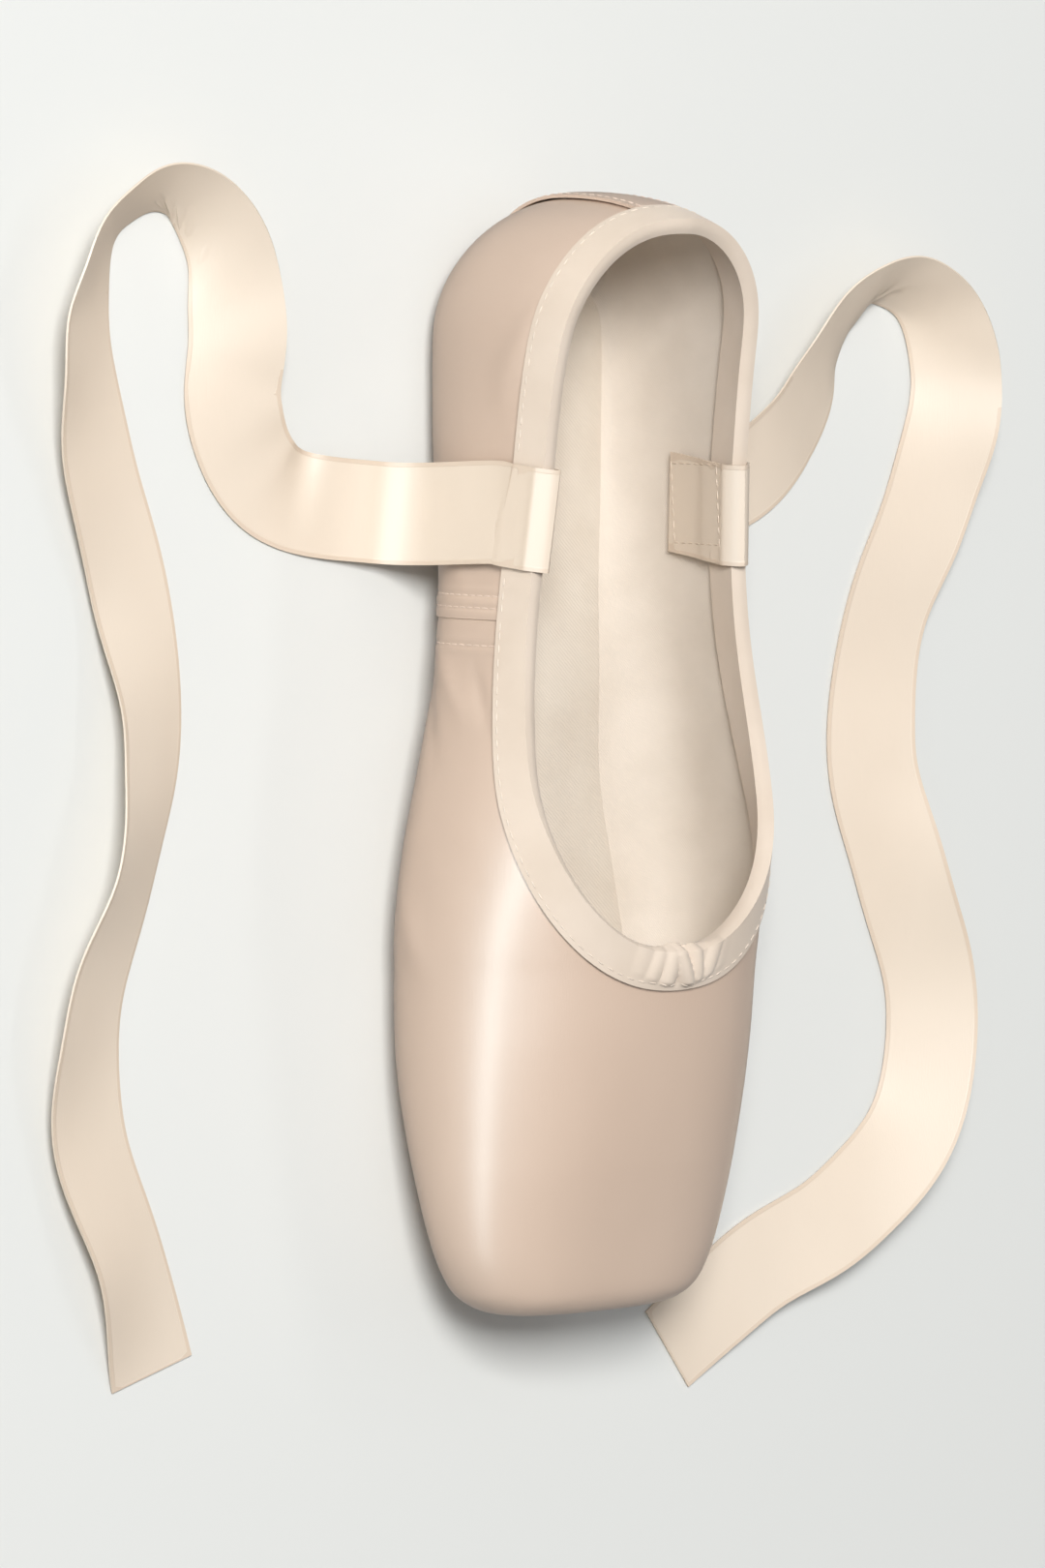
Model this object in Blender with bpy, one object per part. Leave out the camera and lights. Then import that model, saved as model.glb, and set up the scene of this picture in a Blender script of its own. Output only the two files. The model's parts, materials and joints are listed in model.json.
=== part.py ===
"""Pointe shoe, empty and standing on its sole.

Toe towards -Y, heel towards +Y, up +Z, in metres. The origin lies on the floor under the
middle of the shoe. The shoe is the same on both sides of the plane x = 0, so each piece of
the shoe is worked out for +X and mirrored.

A place is a distance along the side of the shoe, from the platform at the toe to the middle
of the heel's back. Ahead of the heel, the section at a place is a plane across the shoe.
Around the heel it is a plane that stands on the heel's upright axis.
"""

import math
from bisect import bisect_right
from collections import namedtuple

import bmesh
import bpy
from mathutils import Vector

MM = 0.001

# The last: the outer skin of the upper
LENGTH = 242 * MM
VAMP_LENGTH = 80 * MM
BALL_WIDTH = 85 * MM
WAIST_WIDTH = 61 * MM
HEEL_WIDTH = 59 * MM
HEEL_DEPTH = 30 * MM
THROAT_HEIGHT = 57 * MM
SIDE_HEIGHT = 43 * MM
BACK_HEIGHT = 59 * MM
INSTEP_HEIGHT = 78 * MM
PLATFORM_WIDTH = 55 * MM
PLATFORM_HEIGHT = 28 * MM
PLATFORM_EDGE = 6 * MM
PLATFORM_CROWN = 0.6 * MM
TOE_SPRING = 7 * MM
ARCH_RISE = 3 * MM
BALL_BULGE = 17 * MM
HEEL_BULGE = 22 * MM

# Walls and clearances
PLATFORM_WALL = 5 * MM
BOX_WALL = 3 * MM
QUARTER_WALL = 1.4 * MM
FIT = 0.3 * MM

# Leather sole
SOLE_SETBACK = 27 * MM
SOLE_TOE_ROUND = 30 * MM
SOLE_HEEL_ROUND = 16 * MM
SOLE_WIDTH = 58 * MM
SOLE_WAIST = 37 * MM
SOLE_HEEL = 43.5 * MM
SOLE_THICKNESS = 2.6 * MM
SOLE_BEVEL = 0.7 * MM
SOLE_LAP = 6 * MM
FEATHER = 1.5 * MM

# Insole board
INSOLE_SETBACK = 15 * MM
INSOLE_TOE_ROUND = 18 * MM
INSOLE_THICKNESS = 2 * MM
INSOLE_BEVEL = 0.5 * MM
INSOLE_PLAY = 1.5 * MM

# Binding around the throat
BINDING_BAND = 8 * MM
BINDING_CLOTH = 0.7 * MM
BINDING_PLAY = 0.4 * MM
GATHER_HEIGHT = 1.3 * MM
GATHER_WIDTH = 9 * MM

# Strip up the back of the heel
STRIP_WIDTH = 12.5 * MM
STRIP_CLOTH = 0.7 * MM

# Ribbons, sewn inside the quarters
RIBBON_WIDTH = 22 * MM
RIBBON_CLOTH = 0.5 * MM
RIBBON_PLAY = 0.9 * MM
RIBBON_BEND = 4 * MM

MIRROR_MERGE = 0.01 * MM
SAME_POINT = 0.001 * MM

TOE_Y = -(LENGTH + FIT + STRIP_CLOTH) / 2
HEEL_START = LENGTH - HEEL_DEPTH
HEEL_Y = TOE_Y + HEEL_START
QUARTER_TURN = math.pi / 2
BACK = HEEL_START + QUARTER_TURN * (HEEL_WIDTH / 2 + HEEL_DEPTH) / 2
UNDERSIDE = SOLE_THICKNESS + FIT

Section = namedtuple("Section", "half feather under bulge crown fullness")


def vamp(share):
    """A place between the platform (0) and the throat (1)."""
    return share * VAMP_LENGTH


def rear(share):
    """A place between the throat (0) and the middle of the heel's back (1)."""
    return VAMP_LENGTH + share * (BACK - VAMP_LENGTH)


# Half width of the upper, in places
HALF_WIDTHS = (
    (vamp(0.00), 0.50 * PLATFORM_WIDTH),
    (vamp(0.09), 0.385 * BALL_WIDTH),
    (vamp(0.20), 0.425 * BALL_WIDTH),
    (vamp(0.45), 0.471 * BALL_WIDTH),
    (vamp(0.73), 0.496 * BALL_WIDTH),
    (vamp(1.00), 0.500 * BALL_WIDTH),
    (rear(0.12), 0.482 * BALL_WIDTH),
    (rear(0.23), 0.438 * BALL_WIDTH),
    (rear(0.34), 0.550 * WAIST_WIDTH),
    (rear(0.46), 0.506 * WAIST_WIDTH),
    (rear(0.57), 0.500 * HEEL_WIDTH),
    (BACK, 0.500 * HEEL_WIDTH),
)

# Height of the widest point of each section
BULGES = (
    (vamp(0.00), UNDERSIDE + TOE_SPRING + 0.44 * PLATFORM_HEIGHT),
    (vamp(0.50), 1.06 * BALL_BULGE),
    (vamp(1.00), BALL_BULGE),
    (rear(0.45), HEEL_BULGE),
    (BACK, 1.1 * HEEL_BULGE),
)

# Height over the middle of each section; behind the throat the quarters lean towards it
CROWNS = (
    (vamp(0.00), UNDERSIDE + TOE_SPRING + PLATFORM_HEIGHT),
    (vamp(0.20), 0.745 * THROAT_HEIGHT),
    (vamp(0.45), 0.850 * THROAT_HEIGHT),
    (vamp(0.73), 0.937 * THROAT_HEIGHT),
    (vamp(1.00), THROAT_HEIGHT),
    (rear(0.12), 0.25 * THROAT_HEIGHT + 0.63 * INSTEP_HEIGHT),
    (rear(0.34), 0.95 * INSTEP_HEIGHT),
    (rear(0.60), INSTEP_HEIGHT),
    (BACK, INSTEP_HEIGHT),
)

# How square each section's upper part is; 2 is an ellipse
FULLNESS = (
    (vamp(0.00), 2.7),
    (vamp(0.50), 2.45),
    (rear(0.10), 2.35),
    (BACK, 2.25),
)

# Height of the upper's edge, from the throat to the middle of the heel's back
EDGE_HEIGHTS = (
    (rear(0.00), THROAT_HEIGHT),
    (rear(0.055), 0.968 * THROAT_HEIGHT),
    (rear(0.12), 0.915 * THROAT_HEIGHT),
    (rear(0.22), 0.35 * THROAT_HEIGHT + 0.62 * SIDE_HEIGHT),
    (rear(0.40), SIDE_HEIGHT),
    (rear(0.66), 0.80 * BACK_HEIGHT),
    (rear(0.84), 0.92 * BACK_HEIGHT),
    (BACK, BACK_HEIGHT),
)

# Half width of the bottom of the last, which the sole follows
SOLE_HALVES = (
    (0, 0.275 * SOLE_WIDTH),
    (0.11 * LENGTH, 0.425 * SOLE_WIDTH),
    (0.19 * LENGTH, 0.478 * SOLE_WIDTH),
    (0.27 * LENGTH, 0.500 * SOLE_WIDTH),
    (0.375 * LENGTH, 0.443 * SOLE_WIDTH),
    (0.50 * LENGTH, 0.520 * SOLE_WAIST),
    (0.62 * LENGTH, 0.500 * SOLE_WAIST),
    (0.76 * LENGTH, 0.490 * SOLE_HEEL),
    (0.86 * LENGTH, 0.500 * SOLE_HEEL),
    (LENGTH, 0.500 * SOLE_HEEL),
)

# Height of the sole's underside over the floor: flat under the ball and under the heel
LIFTS = (
    (0, TOE_SPRING),
    (0.11 * LENGTH, 0.62 * TOE_SPRING),
    (0.24 * LENGTH, 0),
    (0.38 * LENGTH, 0),
    (0.59 * LENGTH, ARCH_RISE),
    (0.79 * LENGTH, 0),
    (LENGTH, 0),
)

# Thickness of the upper's wall
WALLS = (
    (0, PLATFORM_WALL),
    (vamp(0.16), BOX_WALL),
    (vamp(0.55), BOX_WALL),
    (rear(0.09), QUARTER_WALL),
    (BACK, QUARTER_WALL),
)


# Where the ribbons leave the shoe, and the columns of points across its pieces
RIBBON_SHARE = 0.522
RIBBON_STEPS = 4
STRIP_COLUMNS = 12
BOTTOM_COLUMNS = 2
SIDE_COLUMNS = 12

# The ribbons' routes on the floor: out from the middle plane, along the shoe, tilt in degrees
RIGHT_ROUTE = (
    (0.059, 0.055, 0),
    (0.071, 0.061, 10),
    (0.079, 0.075, 20),
    (0.080, 0.096, 40),
    (0.087, 0.114, 62),
    (0.101, 0.121, 70),
    (0.115, 0.112, 60),
    (0.119, 0.092, 34),
    (0.114, 0.065, 12),
    (0.105, 0.037, 6),
    (0.101, 0.007, 22),
    (0.107, -0.022, 38),
    (0.117, -0.049, 26),
    (0.117, -0.077, 10),
    (0.107, -0.103, 16),
    (0.099, -0.129, 0),
)
LEFT_ROUTE = (
    (0.059, 0.055, 0),
    (0.073, 0.061, 10),
    (0.084, 0.074, 22),
    (0.092, 0.091, 48),
    (0.107, 0.101, 68),
    (0.122, 0.094, 64),
    (0.128, 0.076, 44),
    (0.122, 0.051, 18),
    (0.110, 0.025, 8),
    (0.104, -0.005, 20),
    (0.112, -0.034, 36),
    (0.122, -0.062, 30),
    (0.116, -0.091, 36),
    (0.095, -0.110, 24),
    (0.070, -0.121, 10),
    (0.046, -0.137, 0),
)


def follow(knots, at):
    """Value at a place on the smooth curve through the knots, which never swings past them."""
    at = min(max(at, knots[0][0]), knots[-1][0])
    last = len(knots) - 2
    span = min(max(bisect_right([place for place, _ in knots], at) - 1, 0), last)
    widths = [b[0] - a[0] for a, b in zip(knots, knots[1:])]
    steeps = [(b[1] - a[1]) / (b[0] - a[0]) for a, b in zip(knots, knots[1:])]

    def slope(knot):
        if knot == 0:
            return steeps[0]
        if knot == len(knots) - 1:
            return steeps[-1]
        before, after = steeps[knot - 1], steeps[knot]
        if before * after <= 0:
            return 0.0
        first = 2 * widths[knot] + widths[knot - 1]
        second = widths[knot] + 2 * widths[knot - 1]
        return (first + second) / (first / before + second / after)

    width = widths[span]
    t = (at - knots[span][0]) / width
    start, end = knots[span][1], knots[span + 1][1]
    return (
        start * (1 + 2 * t) * (1 - t) ** 2
        + width * slope(span) * t * (1 - t) ** 2
        + end * t * t * (3 - 2 * t)
        - width * slope(span + 1) * t * t * (1 - t)
    )


def oval_radius(side, back, turn):
    """Distance from an oval's middle to its edge, at an angle from its side towards its back."""
    return side * back / math.hypot(back * math.cos(turn), side * math.sin(turn))


def heel_turn(place):
    """Angle around the heel's axis of a place: 0 where the heel starts, a right angle at its back."""
    return max(0.0, (place - HEEL_START) / (BACK - HEEL_START)) * QUARTER_TURN


def lift(place):
    return follow(LIFTS, min(place, LENGTH))


def section(place):
    """The last's section at a place."""
    turn = heel_turn(place)
    half = follow(HALF_WIDTHS, place)
    feather = follow(SOLE_HALVES, min(place, HEEL_START)) + FEATHER
    if turn:
        half = oval_radius(half, HEEL_DEPTH, turn)
        feather = oval_radius(feather, SOLE_HEEL_ROUND + FEATHER, turn)
    return Section(
        half,
        feather,
        lift(place) + UNDERSIDE,
        follow(BULGES, place),
        follow(CROWNS, place),
        follow(FULLNESS, place),
    )


def spot(place, out, height):
    """Point of the section at a place, out from the middle and up from the floor."""
    turn = heel_turn(place)
    if turn >= QUARTER_TURN:
        return Vector((0, HEEL_Y + out, height))
    if turn:
        return Vector((out * math.cos(turn), HEEL_Y + out * math.sin(turn), height))
    return Vector((out, TOE_Y + place, height))


def place_of(point):
    """Place of the section that a point lies in."""
    if point.y <= HEEL_Y:
        return point.y - TOE_Y
    turn = math.atan2(point.y - HEEL_Y, abs(point.x))
    return HEEL_START + turn / QUARTER_TURN * (BACK - HEEL_START)


def above_bulge(point):
    """How far out a point above the widest line lies: 1 on the skin, more outside it."""
    place = place_of(point)
    cut = section(place)
    out = abs(point.x) if point.y <= HEEL_Y else math.hypot(point.x, point.y - HEEL_Y)
    rise = max(point.z - cut.bulge, 0) / (cut.crown - cut.bulge)
    return ((out / cut.half) ** cut.fullness + rise**cut.fullness) ** (1 / cut.fullness)


def onto_skin(point):
    """The point moved onto the skin, in its own section, away from the middle of the widest line."""
    share = above_bulge(point)
    place = place_of(point)
    cut = section(place)
    out = abs(point.x) if point.y <= HEEL_Y else math.hypot(point.x, point.y - HEEL_Y)
    moved = spot(place, out / share, cut.bulge + (point.z - cut.bulge) / share)
    moved.x = math.copysign(moved.x, point.x)
    return moved


def skin_normal(point):
    """Outward normal of the skin above the widest line."""
    step = 0.05 * MM
    slopes = []
    for axis in range(3):
        way = Vector((0, 0, 0))
        way[axis] = step
        slopes.append(above_bulge(point + way) - above_bulge(point - way))
    return Vector(slopes).normalized()


def evenly(points, count):
    """The path through the points, cut into a count of equal lengths."""
    lengths = [0.0]
    for a, b in zip(points, points[1:]):
        lengths.append(lengths[-1] + math.dist(a, b))
    result = []
    for k in range(count + 1):
        wanted = lengths[-1] * k / count
        at = min(max(bisect_right(lengths, wanted) - 1, 0), len(points) - 2)
        share = (wanted - lengths[at]) / (lengths[at + 1] - lengths[at])
        result.append(tuple(p + (q - p) * share for p, q in zip(points[at], points[at + 1])))
    return result


def side_profile(cut, top, count):
    """The section from the edge of its flat bottom round the widest point to a height, in a count
    of equal lengths, as distances out and heights."""
    fine = 24
    underneath = 2.0
    points = []
    for k in range(fine):
        angle = QUARTER_TURN * k / fine
        out = cut.feather + (cut.half - cut.feather) * math.sin(angle) ** (2 / underneath)
        points.append((out, cut.bulge - (cut.bulge - cut.under) * math.cos(angle) ** (2 / underneath)))
    share = min((top - cut.bulge) / (cut.crown - cut.bulge), 1.0)
    end = math.asin(share ** (cut.fullness / 2))
    for k in range(fine + 1):
        angle = end * k / fine
        out = cut.half * max(math.cos(angle), 0.0) ** (2 / cut.fullness)
        rise = math.sin(angle) ** (2 / cut.fullness)
        points.append((out, cut.bulge + (cut.crown - cut.bulge) * rise))
    if share == 1.0:
        points[-1] = (0.0, cut.crown)
    return evenly(points, count)


def sole_half(place):
    """Half width of the leather's body, without its round ends."""
    return follow(SOLE_HALVES, min(place, HEEL_START))


def round_ended(place, front, front_round, half_at, back_round):
    """Half width across a board with oval ends, ahead of its body and behind the heel's axis."""
    if place < front + front_round:
        share = min((front + front_round - place) / front_round, 1.0)
        return half_at(front + front_round) * math.sqrt(1 - share**2)
    if place > HEEL_START:
        share = min((place - HEEL_START) / back_round, 1.0)
        return half_at(HEEL_START) * math.sqrt(1 - share**2)
    return half_at(place)


def hole_half(place, lap=SOLE_LAP):
    """Half width across the hole in the upper's bottom, which the sole closes, or of an outline
    that lies further inside the leather's edge."""
    return round_ended(
        place,
        SOLE_SETBACK + lap,
        SOLE_TOE_ROUND - lap,
        lambda at: sole_half(at) - lap,
        SOLE_HEEL_ROUND - lap,
    )


def opening_half(place):
    """Half width of the same hole in the section at a place."""
    turn = heel_turn(place)
    if turn:
        return oval_radius(sole_half(HEEL_START) - SOLE_LAP, SOLE_HEEL_ROUND - SOLE_LAP, turn)
    return hole_half(place)


def spread(start, end, count):
    """Places from start to end, start left out."""
    return [start + (end - start) * k / count for k in range(1, count + 1)]


def closing_in(start, end, count):
    """Places from start to end, close together at the start, start left out."""
    return [start + (end - start) * (k / count) ** 2 for k in range(1, count + 1)]


def body_places():
    """Places from where the sole's round toe ends to where the heel starts."""
    return (
        spread(SOLE_SETBACK + SOLE_TOE_ROUND, VAMP_LENGTH, 4)
        + closing_in(VAMP_LENGTH, rear(0.15), 7)
        + spread(rear(0.15), HEEL_START, 13)
    )


def upper_places():
    hole = SOLE_SETBACK + SOLE_LAP
    return (
        spread(PLATFORM_EDGE + PLATFORM_CROWN, hole, 5)
        + closing_in(hole, SOLE_SETBACK + SOLE_TOE_ROUND, 5)
        + body_places()
        + spread(HEEL_START, BACK, 8)
    )


def edge_places():
    """Places of the upper's free edge, from the throat to the back."""
    return [VAMP_LENGTH] + [place for place in upper_places() if place > VAMP_LENGTH]


def edge_height(place):
    return follow(EDGE_HEIGHTS, place)


def upper_row(place):
    """Points of the skin at a place, from the bottom up to the free edge or the middle of the vamp."""
    cut = section(place)
    top = edge_height(place) if place > VAMP_LENGTH else cut.crown
    hole = opening_half(place)
    bottom = [(hole + (cut.feather - hole) * k / BOTTOM_COLUMNS, cut.under) for k in range(BOTTOM_COLUMNS)]
    return [spot(place, out, height) for out, height in bottom + side_profile(cut, top, SIDE_COLUMNS)]


def rim_row(angle):
    """Points around the rim of the platform: angle 0 on its face, a right angle on the box."""
    inset = PLATFORM_EDGE * (1 - math.sin(angle))
    behind = PLATFORM_EDGE * (1 - math.cos(angle))
    full = section(behind)
    cut = full._replace(
        half=full.half - inset,
        feather=full.feather * (1 - inset / full.half),
        under=full.under + inset,
        crown=full.crown - inset,
    )
    bottom = [(cut.feather * k / BOTTOM_COLUMNS, cut.under) for k in range(BOTTOM_COLUMNS)]
    profile = bottom + side_profile(cut, cut.crown, SIDE_COLUMNS)
    return [Vector((out, TOE_Y + PLATFORM_CROWN + behind, height)) for out, height in profile]


def platform_rows():
    """The slightly crowned face of the platform, from its middle outwards, and its rim."""
    face = rim_row(0)
    middle = Vector((0, TOE_Y, (face[0].z + face[-1].z) / 2))
    rows = []
    for k in range(3):
        share = k / 3
        rows.append([middle.lerp(point, share) for point in face])
        for point in rows[-1]:
            point.y = TOE_Y + PLATFORM_CROWN * share**2
    return rows + [rim_row(QUARTER_TURN * k / 4) for k in range(5)]


def half_mesh(name, rows, closed=False, capped=False):
    """Mesh of faces between rows of points, row by row. Each row is joined end to start if closed,
    and the first and last rows are filled if capped."""
    work = bmesh.new()
    grid = [[work.verts.new(point) for point in row] for row in rows]
    columns = len(rows[0])
    for near, far in zip(grid, grid[1:]):
        for k in range(columns if closed else columns - 1):
            beside = (k + 1) % columns
            work.faces.new((near[k], far[k], far[beside], near[beside]))
    if capped:
        work.faces.new(grid[0])
        work.faces.new(reversed(grid[-1]))
    bmesh.ops.remove_doubles(work, verts=work.verts, dist=SAME_POINT)
    bmesh.ops.dissolve_degenerate(work, dist=SAME_POINT, edges=work.edges)
    mesh = bpy.data.meshes.new(name)
    work.to_mesh(mesh)
    work.free()
    return mesh


def material(name, colour, roughness, metallic=0.0):
    made = bpy.data.materials.new(name)
    made.use_nodes = True
    shader = made.node_tree.nodes["Principled BSDF"]
    shader.inputs["Base Color"].default_value = (*colour, 1)
    shader.inputs["Roughness"].default_value = roughness
    shader.inputs["Metallic"].default_value = metallic
    made.diffuse_color = (*colour, 1)
    return made


def add(name, mesh, finish, mirrored=True):
    """Object of a mesh, mirrored to -X if it is half a piece."""
    mesh.materials.append(finish)
    mesh.shade_smooth()
    thing = bpy.data.objects.new(name, mesh)
    bpy.context.scene.collection.objects.link(thing)
    if mirrored:
        mirror = thing.modifiers.new("Mirror", "MIRROR")
        mirror.merge_threshold = MIRROR_MERGE
    return thing


def make_upper(finish):
    """Skin of the whole upper, given its wall inwards."""
    rows = platform_rows() + [upper_row(place) for place in upper_places()]
    upper = add("upper", half_mesh("upper", rows), finish)
    walls = upper.vertex_groups.new(name="wall")
    for vertex in upper.data.vertices:
        wall = follow(WALLS, place_of(vertex.co))
        walls.add([vertex.index], wall / PLATFORM_WALL, "REPLACE")
    thick = upper.modifiers.new("Wall", "SOLIDIFY")
    thick.thickness = PLATFORM_WALL
    thick.offset = -1
    thick.vertex_group = "wall"
    thick.use_even_offset = True
    thick.use_rim = True


def end_steps(count):
    """Shares of an oval end's length, close together at the tip."""
    return [1 - math.cos(QUARTER_TURN * k / count) for k in range(count + 1)]


def board_places(front, front_round, back_round, count):
    """Places of the rows of a board, close together at its round tips."""
    tip = [front + front_round * share for share in end_steps(count)]
    body = [place for place in body_places() if place > tip[-1] + FIT]
    back = [HEEL_START + back_round * (1 - share) for share in reversed(end_steps(count))]
    return tip + body + back[1:]


def across(place, out, height):
    """Point of a board, straight across the shoe."""
    return Vector((out, TOE_Y + place, height))


def make_outsole(finish):
    """Leather sole with bevelled edges."""
    rows = []
    for place in board_places(SOLE_SETBACK, SOLE_TOE_ROUND, SOLE_HEEL_ROUND, 6):
        half = round_ended(place, SOLE_SETBACK, SOLE_TOE_ROUND, sole_half, SOLE_HEEL_ROUND)
        inner = max(half - SOLE_BEVEL, 0)
        bottom = lift(place)
        top = bottom + SOLE_THICKNESS
        profile = (
            (0, bottom),
            (inner / 2, bottom),
            (inner, bottom),
            (half, bottom + SOLE_BEVEL),
            (half, top - SOLE_BEVEL / 2),
            (inner, top),
            (inner / 2, top),
            (0, top),
        )
        rows.append([across(place, out, height) for out, height in profile])
    add("outsole", half_mesh("outsole", rows), finish)


def make_insole(finish):
    """Board on the turned-in edge of the upper, with a lower part that fills the hole there."""

    def half_at(place):
        return section(place).feather - QUARTER_WALL

    back_round = SOLE_HEEL_ROUND + FEATHER - QUARTER_WALL
    filling = SOLE_LAP + INSOLE_PLAY
    filling_toe = [
        SOLE_SETBACK + filling + (SOLE_TOE_ROUND - filling) * share for share in end_steps(4)
    ]
    filling_heel = [HEEL_START + (SOLE_HEEL_ROUND - filling) * (1 - share) for share in end_steps(4)]
    places = board_places(INSOLE_SETBACK, INSOLE_TOE_ROUND, back_round, 5)
    rows = []
    for place in sorted(places + filling_toe[:-1] + filling_heel[:-1]):
        under = lift(place) + UNDERSIDE
        high = under + follow(WALLS, place) + FIT
        top = high + INSOLE_THICKNESS
        step = hole_half(place, filling)
        low = under if step else high
        half = round_ended(place, INSOLE_SETBACK, INSOLE_TOE_ROUND, half_at, back_round)
        inner = max(half - INSOLE_BEVEL, 0)
        profile = (
            (0, low),
            (step, low),
            (step, high),
            (max(inner, step), high),
            (half, high + INSOLE_BEVEL),
            (half, top - INSOLE_BEVEL),
            (inner, top),
            (inner / 2, top),
            (0, top),
        )
        rows.append([across(place, out, height) for out, height in profile])
    add("insole", half_mesh("insole", rows), finish)


def edge_point(place):
    cut = section(place)
    height = min(edge_height(place), cut.crown)
    rise = (height - cut.bulge) / (cut.crown - cut.bulge)
    out = cut.half * max(1 - rise**cut.fullness, 0) ** (1 / cut.fullness)
    return spot(place, out, height)


def edge_frames():
    """Points of the upper's edge from throat to back, each with the direction down the skin."""
    places = edge_places()
    points = [edge_point(place) for place in places]
    frames = []
    for k, point in enumerate(points):
        if k == 0:
            along = Vector((1, 0, 0))
        elif k == len(points) - 1:
            along = Vector((-1, 0, 0))
        else:
            along = (points[k + 1] - point).normalized() + (point - points[k - 1]).normalized()
        normal = skin_normal(point)
        down = along.cross(normal).normalized()
        frames.append((point, down))
    return frames


def off_skin(point, off):
    """The point moved onto the skin of the upper and off it, outwards."""
    base = onto_skin(point)
    return base + skin_normal(base) * off


def off_lining(point, off):
    """The point moved onto the inner face of the upper's wall and off it, inwards."""
    base = onto_skin(point)
    return base - skin_normal(base) * (follow(WALLS, place_of(base)) + off)


def make_binding(finish):
    """Tape folded over the upper's edge, thicker where it is gathered at the throat."""
    rows = []
    frames = edge_frames()
    walked = 0.0
    fold = BINDING_PLAY + BINDING_CLOTH
    for k, (point, down) in enumerate(frames):
        if k:
            walked += (point - frames[k - 1][0]).length
        puff = GATHER_HEIGHT * math.exp(-((walked / GATHER_WIDTH) ** 2))
        outside = (
            (BINDING_BAND, BINDING_PLAY),
            (BINDING_BAND, fold),
            (0.65 * BINDING_BAND, fold + 0.7 * puff),
            (0.3 * BINDING_BAND, fold + puff),
            (-0.5 * fold, fold + 0.6 * puff),
            (-fold - 0.5 * puff, -QUARTER_WALL / 2),
        )
        inside = (
            (-0.5 * fold, fold),
            (0.3 * BINDING_BAND, fold),
            (BINDING_BAND, fold),
            (BINDING_BAND, BINDING_PLAY),
            (0.3 * BINDING_BAND, BINDING_PLAY),
            (-BINDING_PLAY, BINDING_PLAY),
        )
        slot = (
            (-BINDING_PLAY, BINDING_PLAY),
            (0.3 * BINDING_BAND, BINDING_PLAY),
            (0.65 * BINDING_BAND, BINDING_PLAY),
        )
        row = [off_skin(point + down * below, off) for below, off in outside]
        row += [off_lining(point + down * below, off) for below, off in inside]
        row += [off_skin(point + down * below, off) for below, off in slot]
        if k in (0, len(frames) - 1):
            for corner in row:
                corner.x = 0.0
        rows.append(row)
    add("binding", half_mesh("binding", rows, closed=True), finish)


def heel_point(out_by, column):
    """Point of the heel's skin at a distance out from the middle plane, in a column of its profile."""

    def at(place):
        cut = section(place)
        out, height = side_profile(cut, edge_height(place), STRIP_COLUMNS)[column]
        return spot(place, out, height)

    near, far = HEEL_START, BACK
    for _ in range(24):
        middle = (near + far) / 2
        if at(middle).x > out_by:
            near = middle
        else:
            far = middle
    found = at(far)
    found.x = out_by
    return found


def make_back_strip(finish):
    """Strip of cloth up the back of the heel, from the end of the sole to the binding."""
    across_strip = [0, STRIP_WIDTH / 4, STRIP_WIDTH / 2]
    band_top = edge_height(BACK) - BINDING_BAND - FIT
    grid = [[heel_point(out, column) for out in across_strip] for column in range(STRIP_COLUMNS + 1)]
    under_band = [k for k, row in enumerate(grid) if row[0].z > band_top][0]
    last, over = grid[under_band - 1], grid[under_band]
    share = (band_top - last[0].z) / (over[0].z - last[0].z)
    grid = grid[:under_band] + [[a.lerp(b, share) for a, b in zip(last, over)]]
    rows = []
    for j, line in enumerate(grid):
        outer, inner = [], []
        for k, point in enumerate(line):
            up = grid[min(j + 1, len(grid) - 1)][k] - grid[max(j - 1, 0)][k]
            sideways = line[min(k + 1, len(line) - 1)] - line[k - 1] if k else Vector((1, 0, 0))
            normal = up.cross(sideways).normalized()
            inner.append(point + normal * FIT)
            outer.append(point + normal * (FIT + STRIP_CLOTH))
        rows.append(outer + inner[::-1])
    add("back_strip", half_mesh("back_strip", rows, capped=True), finish)


def smooth_line(points, steps):
    """Smooth curve through the points, with a count of steps from each to the next."""
    line = []
    for k in range(len(points) - 1):
        before = points[max(k - 1, 0)]
        a, b = points[k], points[k + 1]
        after = points[min(k + 2, len(points) - 1)]
        for step in range(steps):
            t = step / steps
            line.append(
                a
                + (b - before) * (0.5 * t)
                + (before * 2 - a * 5 + b * 4 - after) * (0.5 * t**2)
                + ((a - b) * 3 + after - before) * (0.5 * t**3)
            )
    return line + [points[-1]]


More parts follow.
